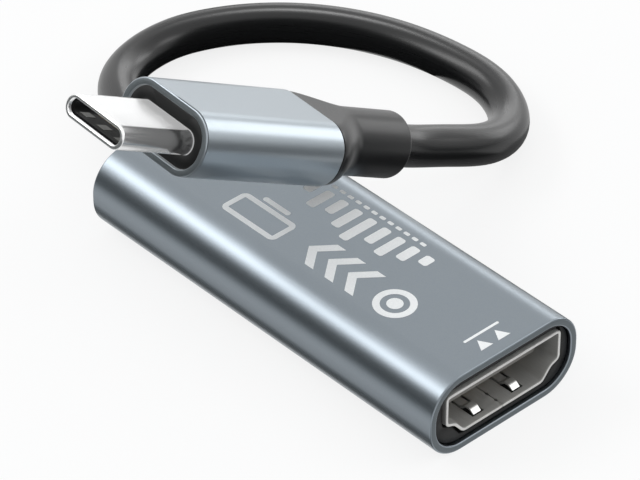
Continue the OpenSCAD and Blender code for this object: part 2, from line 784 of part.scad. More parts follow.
case_sleeve();
input_bezel();
cable_cap();
cable_gland();
socket_shell();
socket_latch_left();
socket_latch_right();
socket_insulator();
socket_contacts_upper();
socket_contacts_lower();
main_board();
capture_chip();
memory_chip();
voltage_regulator();
power_inductor();
clock_crystal();
line_protectors();
chip_capacitors();
chip_resistors();
thermal_pad();
board_wires();
cable();
cable_ferrule();
strain_relief();
plug_sleeve();
plug_face();
plug_inner_mould();
plug_board();
plug_wires();
plug_shell();
plug_insulator();
plug_contacts_upper();
plug_contacts_lower();
plug_ground_springs();
plug_latch_plate();
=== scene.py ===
# %% [markdown]
# # A video capture box with its cable
#
# This lesson dresses a small video capture box: a flat box in a grey aluminium sleeve, with a video
# socket at one end, and a short thick cable that ends in a reversible plug. The construction comes as
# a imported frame, one mesh for each real piece, already in its place. Blender works in metres here, and
# the sizes below are written in millimetres, which MM turns into metres.

# %% Load the frame
import json
import math

import bmesh
import bpy
import numpy as np
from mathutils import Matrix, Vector


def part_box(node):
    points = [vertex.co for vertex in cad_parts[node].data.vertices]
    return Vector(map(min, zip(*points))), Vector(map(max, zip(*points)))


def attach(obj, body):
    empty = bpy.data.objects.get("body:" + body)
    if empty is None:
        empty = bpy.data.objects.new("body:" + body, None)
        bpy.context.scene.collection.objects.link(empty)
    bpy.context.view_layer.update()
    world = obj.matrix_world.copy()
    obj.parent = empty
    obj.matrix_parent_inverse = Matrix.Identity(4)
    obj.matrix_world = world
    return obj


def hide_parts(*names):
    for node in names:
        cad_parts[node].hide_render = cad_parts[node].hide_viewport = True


MM = 0.001
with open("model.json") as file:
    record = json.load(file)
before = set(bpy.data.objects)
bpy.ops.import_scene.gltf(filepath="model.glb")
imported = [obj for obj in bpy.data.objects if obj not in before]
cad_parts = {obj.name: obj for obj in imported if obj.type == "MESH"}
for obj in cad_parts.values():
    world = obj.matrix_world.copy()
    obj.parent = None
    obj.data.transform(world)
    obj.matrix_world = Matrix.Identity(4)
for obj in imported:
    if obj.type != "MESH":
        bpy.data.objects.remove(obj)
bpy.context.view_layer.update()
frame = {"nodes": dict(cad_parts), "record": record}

# %% [markdown]
# ## The camera
#
# The picture was taken with a long lens from the left of the socket end, looking down. The angles, the
# distance and the focal length come from fitting the box's edges, so a ring or an edge drawn at its
# real size falls on the right pixel. A long lens keeps parallel edges almost parallel.

# %% Set up the camera
PHOTO_WIDTH = 640
FOCAL_PIXELS = 3897.07
SENSOR_WIDTH = 36
CAMERA_AZIMUTH = -42.657
CAMERA_ELEVATION = 37.876
CAMERA_DISTANCE = 364.864
CAMERA_TARGET = np.array([-1.17, 0, 8.398])


def direction(azimuth, elevation):
    """Unit vector from the object to a viewer: azimuth 0 stands at -Y and 90 at +X, in degrees."""
    a, e = np.radians([azimuth, elevation])
    return np.array([np.sin(a) * np.cos(e), -np.cos(a) * np.cos(e), np.sin(e)])


def aim(obj, place, target):
    """Puts a camera or lamp at a place in mm and turns its -Z axis to the target."""
    obj.location = Vector(place * MM)
    obj.rotation_euler = Vector(target - place).to_track_quat("-Z", "Y").to_euler()
    bpy.context.scene.collection.objects.link(obj)


camera = bpy.data.objects.new("photo_camera", bpy.data.cameras.new("photo_camera"))
camera.data.sensor_width = SENSOR_WIDTH
camera.data.lens = FOCAL_PIXELS * SENSOR_WIDTH / PHOTO_WIDTH
aim(camera, CAMERA_TARGET + CAMERA_DISTANCE * direction(CAMERA_AZIMUTH, CAMERA_ELEVATION), CAMERA_TARGET)
bpy.context.scene.camera = camera
print("camera lens in mm:", round(camera.data.lens, 1))

# %% [markdown]
# ## Nodes and colours
#
# A colour picked on a screen is an sRGB value, and Blender's shaders take linear ones, so one function
# turns a hex value into linear light. Another small function adds a node: a socket's input may be a
# number, which is set, or another node's socket, which is linked.

# %% Two helpers for materials
SRGB_KNEE, SRGB_SLOPE, SRGB_OFFSET, SRGB_POWER = 0.04045, 12.92, 0.055, 2.4


def linear(hex_colour):
    """Linear RGBA of an sRGB hex colour: a short straight piece near black, then a power curve."""
    c = np.array([int(hex_colour[k:k + 2], 16) for k in (1, 3, 5)]) / 255
    curve = ((c + SRGB_OFFSET) / (1 + SRGB_OFFSET)) ** SRGB_POWER
    return (*np.where(c <= SRGB_KNEE, c / SRGB_SLOPE, curve), 1.0)


def add(tree, kind, inputs=(), **settings):
    """Adds one node with its settings, and gives each input a value or a link."""
    made = tree.nodes.new("ShaderNode" + kind)
    for key, value in settings.items():
        setattr(made, key, value)
    for key, value in dict(inputs).items():
        if isinstance(value, bpy.types.NodeSocket):
            tree.links.new(value, made.inputs[key])
        else:
            made.inputs[key].default_value = value
    return made


print("mid grey in linear light:", round(linear("#808080")[0], 3))

# %% [markdown]
# ## The studio
#
# The object lies on white paper in a white room. The camera, and anything glossy, sees the room and the
# paper at plain white, while the paper still takes the object's soft shadow. Satin metal shows its
# shape by what it mirrors, so a photographer sets soft boxes where a rounded edge should shine and
# dark cards where it should turn dark. A card here is met by glossy rays alone, and only on its front,
# so it throws no shadow and doesn't grey the paper. Two cards glow, like lit sheets beside the set: one
# draws the band along the plug and the other the one along the box's far edge. A small dark flag stands
# inside the cable's loop and keeps the far side of the cable black.

# %% Light the room
ROOM_LIGHT = 0.8
PAPER_GLOW = 0.82
PAPER_SIZE = 4000
PAPER_DROP = 0.02


def seen_directly(tree):
    """1 for a ray from the camera or from gloss or glass, 0 for a ray that only gathers light."""
    ray = add(tree, "LightPath").outputs
    seen = add(tree, "Math", {0: ray["Is Camera Ray"], 1: ray["Is Glossy Ray"]}, operation="MAXIMUM")
    seen = add(tree, "Math", {0: seen.outputs[0], 1: ray["Is Transmission Ray"]}, operation="MAXIMUM")
    return seen.outputs[0]


room = bpy.data.worlds.new("white_room")
room.use_nodes = True
room.node_tree.nodes.clear()
room_light = add(room.node_tree, "Background", {"Color": linear("#fdfeff"), "Strength": ROOM_LIGHT})
room_white = add(room.node_tree, "Background", {"Color": linear("#ffffff"), "Strength": 1.0})
room_mix = add(room.node_tree, "MixShader", {
    0: seen_directly(room.node_tree), 1: room_light.outputs[0], 2: room_white.outputs[0]})
add(room.node_tree, "OutputWorld", {"Surface": room_mix.outputs[0]})
bpy.context.scene.world = room
bpy.context.scene.view_settings.view_transform = "Standard"
print("room light for shading:", ROOM_LIGHT)

# %% Lay the paper and set the lamps and cards
BOX_MIDDLE = np.array([0, 0, 5])


def flat_card(name, corners, finish):
    """A flat card of the stage, its corners in mm."""
    mesh = bpy.data.meshes.new(name)
    mesh.from_pydata([tuple(np.array(c) * MM) for c in corners], [], [tuple(range(len(corners)))])
    mesh.materials.append(finish)
    card = bpy.data.objects.new(name, mesh)
    bpy.context.scene.collection.objects.link(card)
    return card


def softbox(name, azimuth, elevation, distance, width, height, radiance):
    """A soft rectangular lamp. Its power is radiance times pi times area, so its face looks that bright."""
    lamp = bpy.data.lights.new(name, "AREA")
    lamp.shape = "RECTANGLE"
    lamp.size, lamp.size_y = width * MM, height * MM
    lamp.energy = radiance * math.pi * lamp.size * lamp.size_y
    place = BOX_MIDDLE + distance * direction(azimuth, elevation)
    made = bpy.data.objects.new(name, lamp)
    aim(made, place, BOX_MIDDLE)
    return made


def mirror_card(name, corners, shade, glow=0.0):
    """A card that only glossy rays meet, on its front: felt of one shade, or a sheet that glows."""
    sheet = bpy.data.materials.new(name + "_sheet")
    sheet.use_nodes = True
    sheet.node_tree.nodes.clear()
    felt = add(sheet.node_tree, "BsdfDiffuse", {"Color": linear(shade)})
    light = add(sheet.node_tree, "Emission", {"Color": linear(shade), "Strength": glow})
    both = add(sheet.node_tree, "AddShader", {0: felt.outputs[0], 1: light.outputs[0]})
    clear = add(sheet.node_tree, "BsdfTransparent")
    behind = add(sheet.node_tree, "NewGeometry").outputs["Backfacing"]
    front = add(sheet.node_tree, "MixShader", {0: behind, 1: both.outputs[0], 2: clear.outputs[0]})
    add(sheet.node_tree, "OutputMaterial", {"Surface": front.outputs[0]})
    sheet.cycles.emission_sampling = "NONE"
    card = flat_card(name, corners, sheet)
    card.visible_camera = card.visible_diffuse = card.visible_shadow = False


def leaning(azimuth, near, far, low, high, start, end):
    """Corners of a card at an azimuth, its front to the box: near and low to far and high, and its width."""
    foot, top = (r * direction(azimuth, 0) + [0, 0, z] for r, z in ((near, low), (far, high)))
    across = direction(azimuth + 90, 0)
    return [foot + start * across, top + start * across, top + end * across, foot + end * across]


paper = bpy.data.materials.new("white_paper")
paper.use_nodes = True
paper.node_tree.nodes.clear()
paper_lit = add(paper.node_tree, "BsdfDiffuse", {"Color": linear("#f4f5f5")})
paper_white = add(paper.node_tree, "Emission", {"Color": linear("#ffffff"), "Strength": 1.0})
paper_share = add(paper.node_tree, "Math", {
    0: seen_directly(paper.node_tree), 1: PAPER_GLOW}, operation="MULTIPLY")
paper_mix = add(paper.node_tree, "MixShader", {
    0: paper_share.outputs[0], 1: paper_lit.outputs[0], 2: paper_white.outputs[0]})
add(paper.node_tree, "OutputMaterial", {"Surface": paper_mix.outputs[0]})

half = PAPER_SIZE / 2
paper_corners = [(x, y, -PAPER_DROP) for x, y in ((-half, -half), (half, -half), (half, half), (-half, half))]
flat_card("paper_floor", paper_corners, paper)
softbox("softbox_behind", -146, 43, 600, 420, 150, 4.8)
softbox("softbox_front", 41, 36, 600, 260, 160, 2.4)
mirror_card("card_bright", leaning(84, 500, 470, 85, 190, -140, 140), "#ffffff", 3.0)
mirror_card("card_edge", leaning(127, 480, 470, 70, 170, -130, 130), "#ffffff", 2.0)
mirror_card("card_left", leaning(-90, 46, 72, 0.1, 48, -190, 60), "#707272")
mirror_card("card_left_floor", leaning(-90, 26, 46, 0.1, 0.1, -120, 60), "#d2d4d4")
mirror_card("card_left_foot", leaning(-90, 9, 12, 0.1, 0.1, -40, 30), "#909292")
mirror_card("card_front", [(-25, -86, 0.1), (70, -174, 20), (172, -65, 20), (33, -23, 0.1)], "#707273")
mirror_card("card_right", [(11, -19, 0.1), (29, -19, 0.1), (29, -1, 0.1), (11, -1, 0.1)], "#484848")
mirror_card("card_by_relief", [
    (10, -1, 0.1), (36, -1, 0.1), (36, 9, 0.1), (24, 10, 0.1), (10, 21, 0.1)], "#a8a8a8")
mirror_card("card_behind", [(18, 46, 0.1), (28, 46, 0.1), (64, 66, 0.1), (50, 80, 0.1)], "#606060")
mirror_card("card_in_loop", [
    (2, 28, 0.1), (24, 10, 0.1), (33, 20, 0.1), (28, 34, 0.1), (16, 41, 0.1), (6, 38, 0.1)], "#3a3a3a")
mirror_card("flag_in_loop", leaning(-43, -30, -22, 0.1, 40, -18, 11), "#4a4a4a")

# %% [markdown]
# ## Finishes with a fine grain
#
# Most surfaces here are one colour with a fine grain: blasted metal, eroded mould steel copied into
# plastic, rolled sheet. One function makes them all: a noise of that grain moves the colour between two
# close shades, the roughness between two values and the surface by a few microns. stretch draws the
# grain out along an axis, as rolling or drawing does. Grains under 0.1 mm are drawn at about 0.1 mm,
# because a finer one wouldn't show in the picture.

# %% One function for grained finishes
NOISE_LOW, NOISE_HIGH, NOISE_DETAIL = 0.3, 0.7, 3.0


def grained(name, shades, roughness, grain, relief, stretch=(1, 1, 1), along=None, **sockets):
    """A finish with one grain in mm: noise mixes two shades, sets the roughness and lifts by relief mm."""
    made = bpy.data.materials.new(name)
    made.use_nodes = True
    tree = made.node_tree
    shader = tree.nodes["Principled BSDF"]
    for key, value in sockets.items():
        shader.inputs[key.replace("_", " ")].default_value = value
    if along:
        place = add(tree, "Attribute", attribute_name=along).outputs["Vector"]
    else:
        place = add(tree, "TexCoord").outputs["Object"]
    scale = [1 / (grain * MM * s) for s in stretch]
    placed = add(tree, "Mapping", {"Vector": place, "Scale": scale}).outputs[0]
    noise = add(tree, "TexNoise", {"Vector": placed, "Scale": 1.0, "Detail": NOISE_DETAIL}).outputs[0]
    share = add(tree, "MapRange", {"Value": noise, "From Min": NOISE_LOW, "From Max": NOISE_HIGH}).outputs[0]
    low, high = map(linear, shades)
    colour = add(tree, "Mix", {0: share, 6: low, 7: high}, data_type="RGBA").outputs[2]
    rough = add(tree, "MapRange", {"Value": share, "To Min": roughness[0], "To Max": roughness[1]}).outputs[0]
    bump = add(tree, "Bump", {"Height": share, "Distance": relief * MM}).outputs[0]
    tree.links.new(colour, shader.inputs["Base Color"])
    tree.links.new(rough, shader.inputs["Roughness"])
    tree.links.new(bump, shader.inputs["Normal"])
    return made


# Aluminium, extruded, bead-blasted and anodised grey: soft wide highlights and an even fine sparkle.
anodised = grained("anodised_aluminium", ("#868e95", "#8a9298"), (0.3, 0.34), 0.12, 0.0003, Metallic=1.0)
# The plug's sleeve: the same anodised aluminium, its grey painted lighter to stand in for the brighter light
# on it.
plug_anodised_painted_light = grained(
    "anodised_plug_sleeve_painted_light", ("#a1a9af", "#a5adb3"), (0.3, 0.34), 0.12, 0.0003, Metallic=1.0)
# The same aluminium where a saw cut it before anodising: duller than the blasted skin, and darker by painted
# shade on the ends.
cut_end_painted_shade = grained("sawn_anodised_end_painted_shade", ("#5d6468", "#656c70"), (0.34, 0.42), 0.1, 0.001, Metallic=1.0)
plug_cut_end_painted_shade = grained("sawn_plug_sleeve_end_painted_shade", ("#8b9296", "#939a9e"), (0.34, 0.42), 0.1, 0.001, Metallic=1.0)
# ABS, moulded in a spark-eroded mould: black and dull, with a fine even tooth.
black_abs = grained(
    "moulded_black_abs", ("#0c0d0d", "#101111"), (0.5, 0.6), 0.1, 0.003, IOR=1.53, Specular_IOR_Level=0.3)
# Thermoplastic rubber, moulded: a soft dull black that never quite shines.
black_rubber = grained("moulded_rubber", ("#0e0f10", "#121314"), (0.31, 0.37), 0.14, 0.002, IOR=1.5)
# Nickel-plated steel sheet, rolled and stamped: bright, with faint lines along the rolling.
nickel = grained(
    "nickel_plated_sheet", ("#c2c2c0", "#d2d2d0"), (0.28, 0.32), 0.1, 0.0001, (1, 12, 1), Metallic=1.0)
# The flat faces of that sheet, tinned matt: a dull grey beside the bright sheared edges.
matt_tin = grained(
    "matt_tinned_sheet", ("#b4b4b2", "#c0c0be"), (0.64, 0.74), 0.1, 0.0005, (1, 12, 1), Metallic=1.0)
# Stainless steel, deep-drawn and plated bright: almost a mirror, with faint lines along the drawing.
bright_steel = grained(
    "drawn_bright_steel", ("#f0f1f1", "#f6f6f6"), (0.2, 0.25), 0.12, 0.0001, (1, 1, 60), along="along_plug",
    Metallic=1.0)
# Gold flash over nickel on stamped contacts: warm and smooth.
gold = grained(
    "gold_flashed_contacts", ("#d5ad58", "#dfba68"), (0.2, 0.28), 0.1, 0.001, (1, 8, 1), Metallic=1.0)
# White ink, screen-printed and cured: flat and slightly uneven in cover.
ink = grained("screen_printed_ink", ("#eef0f1", "#f6f8f8"), (0.45, 0.6), 0.2, 0.002, IOR=1.5)
print("finishes so far:", [m.name for m in bpy.data.materials if m.use_nodes])

# %% [markdown]
# ## Surfaces from rings
#
# Every shell of this object is a section carried along a line: a rounded rectangle along the box, the
# same along the plug, a circle along the cable. So one function takes stacks of rings, whole numpy
# arrays of points, and joins neighbouring rings by quads. A stack that closes on itself is a wall with
# its inside, and an open one gets flat ends. Weighted normals keep the flat faces flat beside the small
# rounded edges.

# %% From rings to a mesh
CREASE = 50


def ring_faces(rows, columns, loop, start):
    """Quads between neighbouring rings, and for an open stack one polygon on each end."""
    index = start + np.arange(rows * columns).reshape(rows, columns)
    after = np.roll(index, -1, axis=0)
    quads = np.stack([index, np.roll(index, -1, axis=1), np.roll(after, -1, axis=1), after], axis=-1)
    if loop:
        return quads.reshape(-1, 4).tolist()
    return quads[:-1].reshape(-1, 4).tolist() + [index[0][::-1].tolist(), index[-1].tolist()]


def outward(mesh):
    """Turns every closed part of a mesh to face outwards."""
    work = bmesh.new()
    work.from_mesh(mesh)
    bmesh.ops.recalc_face_normals(work, faces=work.faces)
    work.to_mesh(mesh)
    work.free()


def place_piece(mesh, finish, body, stands_for):
    """Gives a mesh its finish, smooth shading and its place on a body of the frame."""
    mesh.materials.append(finish)
    mesh.shade_smooth()
    mesh.set_sharp_from_angle(angle=math.radians(CREASE))
    piece = bpy.data.objects.new(mesh.name, mesh)
    bpy.context.scene.collection.objects.link(piece)
    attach(piece, body)
    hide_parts(*stands_for)
    return piece


def build(name, stacks, finish, body="box", stands_for=None):
    """One piece from stacks of rings in mm, each a (rings, closes on itself) pair."""
    points, faces = [], []
    for rings, loop in stacks:
        faces += ring_faces(*rings.shape[:2], loop, sum(map(len, points)))
        points.append(rings.reshape(-1, 3))
    mesh = bpy.data.meshes.new(name)
    mesh.from_pydata((np.concatenate(points) * MM).tolist(), [], faces)
    outward(mesh)
    piece = place_piece(mesh, finish, body, [name] if stands_for is None else stands_for)
    piece.modifiers.new("flat_faces_stay_flat", "WEIGHTED_NORMAL").keep_sharp = True
    print(f"{name}: {len(mesh.vertices)} points")
    return piece


# %% Sections and profiles
ARC_STEPS = 16
EDGE_STEPS = 4
RIM_ROWS = (EDGE_STEPS, 3 * EDGE_STEPS + 2)


def rounded_outline(w, h, r):
    """A rounded rectangle, anticlockwise: a quarter arc of radius r, turned into each of the four corners."""
    t = np.radians(np.linspace(0, 90, ARC_STEPS + 1))
    turn = np.radians([0, 90, 180, 270])[:, None] + t
    sign = np.array([[1, 1], [-1, 1], [-1, -1], [1, -1]])[:, None]
    corner = sign * np.array([w / 2 - r, h / 2 - r])
    return (corner + r * np.stack([np.cos(turn), np.sin(turn)], axis=-1)).reshape(-1, 2)


def circle(r, sides):
    """A circle of evenly spaced points."""
    t = np.arange(sides) * 2 * np.pi / sides
    return r * np.stack([np.cos(t), np.sin(t)], axis=-1)


def tube_profile(start, end, wall, outer_round, inner_round):
    """A tube's wall as (depth below the skin, place) pairs: round the far rim and back round the near one."""
    t = np.radians(np.linspace(0, 90, EDGE_STEPS + 1))
    outer = np.stack([outer_round * (1 - np.cos(t)), end - outer_round * (1 - np.sin(t))], axis=-1)
    inner = np.stack([wall - inner_round * (1 - np.sin(t)), end - inner_round * (1 - np.cos(t))], axis=-1)
    far = np.concatenate([outer, inner])
    return np.concatenate([far, far[::-1] * [1, -1] + [0, start + end]])


def finish_rows(piece, columns, rows, finish):
    """Gives whole rows of a piece's faces another finish."""
    piece.data.materials.append(finish)
    index = np.zeros(len(piece.data.polygons), dtype=np.int32)
    whole = len(index) // columns * columns
    index[:whole].reshape(-1, columns)[list(rows)] = 1
    piece.data.polygons.foreach_set("material_index", index)


def carried(outline, profile, place):
    """Rings of a section: outline(d) is the section drawn in by d, and place puts it at its place s."""
    return np.stack([place(outline(d), s) for d, s in profile])


print("points in a rounded section:", len(rounded_outline(2, 1, 0.2)))

# %% [markdown]
# ## The box's sleeve
#
# The sleeve is an aluminium extrusion, cut to length, with both ends turned to a small bevel that
# catches the light as a thin bright line. Its width, height and length come from the frame. The section
# is carried along the box as a closed wall: outside, round the rim, and back along the inside.

# %% Build the sleeve
CASE_RADIUS = 4.0
CASE_WALL = 0.8
CASE_BEVEL = 0.16
CASE_INNER_BEVEL = 0.12

case_low, case_high = (np.array(corner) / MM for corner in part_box("case_sleeve"))
case_w, _, case_h = case_high - case_low
front_y, far_y, mid_z = case_low[1], case_high[1], case_h / 2


def case_outline(d):
    """The box's section, drawn in by d."""
    return rounded_outline(case_w - 2 * d, case_h - 2 * d, CASE_RADIUS - d)


def in_box(section, y):
    """A section in X and Z, about the box's middle line, at place y."""
    return np.stack([section[:, 0], np.full(len(section), y), mid_z + section[:, 1]], axis=-1)


sleeve_profile = tube_profile(front_y, far_y, CASE_WALL, CASE_BEVEL, CASE_INNER_BEVEL)
sleeve_rings = carried(case_outline, sleeve_profile, in_box)
sleeve = build("case_sleeve", [(sleeve_rings, True)], anodised)
# The rim gets the sawn finish: duller, and darker by painted shade.
finish_rows(sleeve, sleeve_rings.shape[1], RIM_ROWS, cut_end_painted_shade)

# %% [markdown]
# ## The socket's outline
#
# The socket is a standard part: upright sides, a ledge on each side, and a narrower foot. The same
# outline drives the sheet and the opening in the bezel. A corner of bent sheet is a short curve, here a
# quadratic one that starts a little before the corner. Moving an outline inwards moves each corner along
# the two neighbouring normals.

# %% Draw the outline
SOCKET_W, SOCKET_H = 14.6, 5.15
SOCKET_SIDE, SOCKET_LEDGE, SOCKET_LEDGE_DROP, SOCKET_FOOT_W = 3.4, 1.1, 0.4, 10.2
SOCKET_SHEET = 0.3
SOCKET_BEND = 0.45
BEND_STEPS = 4

half_foot, half_socket = SOCKET_FOOT_W / 2, SOCKET_W / 2
foot_z, top_z = -SOCKET_H / 2, SOCKET_H / 2
side_z = top_z - SOCKET_SIDE
right_side = np.array([
    [half_foot, foot_z], [half_socket - SOCKET_LEDGE, side_z - SOCKET_LEDGE_DROP], [half_socket, side_z],
    [half_socket, top_z]])
socket_outline = np.concatenate([right_side, right_side[::-1] * [-1, 1]])


def unit(vectors):
    """Vectors of length 1."""
    return vectors / np.linalg.norm(vectors, axis=-1, keepdims=True)


def drawn_in(points, d):
    """An anticlockwise outline moved inwards by d: each corner goes along the mean of its sides' normals."""
    side = unit(np.roll(points, -1, axis=0) - points)
    after = np.stack([-side[:, 1], side[:, 0]], axis=-1)
    before = np.roll(after, 1, axis=0)
    return points + d * (before + after) / (1 + np.sum(before * after, axis=-1, keepdims=True))


def bent(points, d):
    """Each corner as a quadratic curve from d before it to d after it: an array of corners by steps."""
    s = np.linspace(0, 1, BEND_STEPS + 1)[:, None]
    start = points + d * unit(np.roll(points, 1, axis=0) - points)
    end = points + d * unit(np.roll(points, -1, axis=0) - points)
    return (1 - s) ** 2 * start[:, None] + 2 * s * (1 - s) * points[:, None] + s ** 2 * end[:, None]


print("socket outline in mm:", socket_outline.round(2).tolist())

# %% [markdown]
# ## The bezel and the cable cap
#
# Each end of the box is closed by a black moulding, a little below the sleeve's rim. The front one has
# the socket's opening and the back one a round hole for the cable's rubber bush. Such a plate is a ring
# between two outlines. To pair their points, rays from the middle cross both outlines at the same
# angles, which include every corner of either.

# %% Build the two end mouldings
FIT = 0.04
SOCKET_GAP = 0.14
LEAF_ROOM = 0.26
MOULD_EDGE = 0.12
CABLE_D = 4.2
CABLE_SIDES = 40
GLAND_WALL = 0.9


def on_rays(outline, angles):
    """Where rays at these angles leave an outline: the crossing of each ray with the side that it meets."""
    turn = np.arctan2(outline[:, 1], outline[:, 0])
    p = outline[np.argsort(turn)]
    side = np.searchsorted(np.sort(turn), angles, side="right") - 1
    a, b = p[side], p[(side + 1) % len(p)]
    ray = np.stack([np.cos(angles), np.sin(angles)], axis=-1)
    step = b - a
    share = (a[:, 1] * ray[:, 0] - a[:, 0] * ray[:, 1]) / (step[:, 0] * ray[:, 1] - step[:, 1] * ray[:, 0])
    return a + share[:, None] * step


def plate(outer, inner, start, end, place):
    """A plate with an opening, from start to its shown face at end, whose edges have a small bevel."""
    corners = np.concatenate([outer(0), inner(0)])
    angles = np.unique(np.arctan2(corners[:, 1], corners[:, 0]).round(4))
    lip = end - math.copysign(MOULD_EDGE, end - start)
    return np.stack([place(on_rays(outline(d), angles), s) for outline, d, s in (
        (inner, 0, start), (inner, 0, lip), (inner, MOULD_EDGE, end),
        (outer, MOULD_EDGE, end), (outer, 0, lip), (outer, 0, start))])


def moulding_outline(d):
    """The section that fills the sleeve, drawn in by d."""
    return case_outline(CASE_WALL + FIT + d)


def socket_opening(d):
    """The opening round the socket, opened out by d, with more room below for the leaves' travel."""
    outline = drawn_in(socket_outline, -SOCKET_GAP - d)
    outline[[0, -1], 1] -= LEAF_ROOM
    return bent(outline, SOCKET_BEND).reshape(-1, 2)


def cable_opening(d):
    """The round hole for the rubber bush, opened out by d."""
    return circle(CABLE_D / 2 + GLAND_WALL + FIT + d, CABLE_SIDES)


bezel_low, bezel_high = (np.array(corner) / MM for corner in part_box("input_bezel"))
bezel_rings = plate(moulding_outline, socket_opening, bezel_high[1], bezel_low[1], in_box)
build("input_bezel", [(bezel_rings, True)], black_abs)
cap_low, cap_high = (np.array(corner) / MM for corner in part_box("cable_cap"))
cap_rings = plate(moulding_outline, cable_opening, cap_low[1], cap_high[1], in_box)
build("cable_cap", [(cap_rings, True)], black_abs)

# %% [markdown]
# ## The socket's sheet
#
# The socket's shell is one strip of nickel-plated sheet, folded round until its ends meet in a dovetail
# seam in the middle of the floor. It is a grid: one way round the outline, the other way along the
# depth. Cells are left out for the two windows in the floor, and past the back only the two solder ears
# are kept. Solidify then gives the sheet its thickness, and Bevel rounds the cut edges. The faces are
# tinned matt and the press leaves the sheared edges bright, so the rim gets the second finish.

# %% Fold the sheet
LATCH_X, LATCH_W, LATCH_SLOT = 2.5, 1.0, 0.2
SHEET_EDGE = 0.07
EAR_LENGTH, EAR_LOW, EAR_HIGH = 2.0, 0.5, 1.7
SEAM_GAP, SEAM_NOTCH, SEAM_NOTCH_LENGTH = 0.02, 0.12, 0.16
SEAM_NOTCHES = (1.0, 2.2)
SEAM_ROWS = 56

shell_low, shell_high = (np.array(corner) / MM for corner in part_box("socket_shell"))
leaf_low, leaf_high = (np.array(corner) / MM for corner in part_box("socket_latch_left"))
mouth_y, back_y = shell_low[1], shell_high[1] - EAR_LENGTH
window_near, window_far = leaf_low[1] - LATCH_SLOT, leaf_high[1] + FIT
window_x = LATCH_X + np.array([-1, 1]) * (LATCH_W / 2 + LATCH_SLOT)

middle = drawn_in(socket_outline, SOCKET_SHEET / 2)
corner_curves = bent(middle, SOCKET_BEND - SOCKET_SHEET / 4)
floor_stops = np.stack([np.append(0, window_x), np.full(3, middle[0, 1])], axis=-1)
side_stops = np.stack([np.full(2, middle[2, 0]), np.array([EAR_LOW, EAR_HIGH])], axis=-1)
right_half = np.concatenate([floor_stops, corner_curves[:3].reshape(-1, 2), side_stops, corner_curves[3]])
strip = np.concatenate([right_half, right_half[::-1] * [-1, 1]])
depth = np.unique(np.concatenate([
    np.linspace(mouth_y, back_y, SEAM_ROWS), [window_near, window_far, shell_high[1]]]).round(4))

sheet_grid = np.stack([in_box(strip, y) for y in depth])
notch_y = mouth_y + np.array(SEAM_NOTCHES)[:, None]
seam = SEAM_GAP + SEAM_NOTCH * np.exp(-((depth - notch_y) / SEAM_NOTCH_LENGTH) ** 2).sum(axis=0)
sheet_grid[:, 0, 0], sheet_grid[:, -1, 0] = seam, -seam

cell_x, cell_z = (strip[1:] + strip[:-1]).T / 2
cell_y = (depth[1:] + depth[:-1]) / 2
on_floor = cell_z < middle[0, 1] + SOCKET_SHEET / 4
over_window = on_floor & (np.abs(cell_x) > window_x[0]) & (np.abs(cell_x) < window_x[1])
on_ear = (np.abs(cell_x) > middle[2, 0] - SHEET_EDGE) & (cell_z > EAR_LOW) & (cell_z < EAR_HIGH)
in_window = over_window & ((cell_y > window_near) & (cell_y < window_far))[:, None]
kept = np.where((cell_y > back_y)[:, None], on_ear, ~in_window)

index = np.arange(sheet_grid[..., 0].size).reshape(sheet_grid.shape[:2])
cells = np.stack([index[:-1, :-1], index[:-1, 1:], index[1:, 1:], index[1:, :-1]], axis=-1)[kept]
used, cells = np.unique(cells, return_inverse=True)
mesh = bpy.data.meshes.new("socket_shell")
mesh.from_pydata((sheet_grid.reshape(-1, 3)[used] * MM).tolist(), [], cells.reshape(-1, 4).tolist())
socket_shell = place_piece(mesh, matt_tin, "box", ["socket_shell"])
mesh.materials.append(nickel)
thicken = socket_shell.modifiers.new("sheet_thickness", "SOLIDIFY")
thicken.thickness, thicken.offset, thicken.use_even_offset = SOCKET_SHEET * MM, 0, True
thicken.material_offset_rim = 1
ease = socket_shell.modifiers.new("eased_edges", "BEVEL")
ease.width, ease.segments, ease.limit_method = SHEET_EDGE * MM, 2, "ANGLE"
ease.angle_limit = math.radians(CREASE)
print(f"socket_shell: {len(used)} points, {len(mesh.polygons)} cells kept of {kept.size}")

# %% [markdown]
# ## The latch leaves
#
# Two spring leaves are cut from the socket's floor. Each rises to a pad near its tip, which presses on
# a plug, and its front slopes down again so that the plug can ride over it. A leaf is a small rounded
# section carried along a line in Y and Z. Plugs rub its front bright, so the first rings get the bright
# finish. Each leaf rides on its own body of the frame.

# %% Bend the leaves
LEAF_SHEET = 0.26
LEAF_EDGE = 0.06
LEAF_RISE = 0.45
LEAF_RAMP, LEAF_PAD, LEAF_NOSE, LEAF_FALL = 0.7, 0.95, 0.5, 0.4
LEAF_RINGS = 60
NOSE_ROWS = 6


def smooth_step(x):
    """0 before 0, 1 after 1, and an even S between them."""
    x = np.clip(x, 0, 1)
    return x * x * (3 - 2 * x)


def leaf_rings(x):
    """A leaf's rings: the height follows an S up the ramp and a straight slope down the nose."""
    y = np.linspace(leaf_low[1], leaf_high[1], LEAF_RINGS)
    pad_y = leaf_low[1] + LEAF_PAD
    up = LEAF_RISE * smooth_step((pad_y + LEAF_RAMP - y) / LEAF_RAMP)
    down = LEAF_FALL * np.clip((leaf_low[1] + LEAF_NOSE - y) / LEAF_NOSE, 0, 1)
    z = leaf_low[2] + SOCKET_SHEET / 2 + up - down
    run = unit(np.stack([np.gradient(y), np.gradient(z)], axis=-1))
    section = rounded_outline(LATCH_W, LEAF_SHEET, LEAF_EDGE)
    across, over = section[:, 0], section[:, 1]
    return np.stack([
        np.broadcast_to(x + across, (LEAF_RINGS, len(section))),
        y[:, None] - run[:, 1:] * over, z[:, None] + run[:, :1] * over], axis=-1)


for side, x in (("left", -LATCH_X), ("right", LATCH_X)):
    rings = leaf_rings(x)
    leaf = build(f"socket_latch_{side}", [(rings, False)], matt_tin, f"latch_{side}")
    finish_rows(leaf, rings.shape[1], range(NOSE_ROWS), nickel)
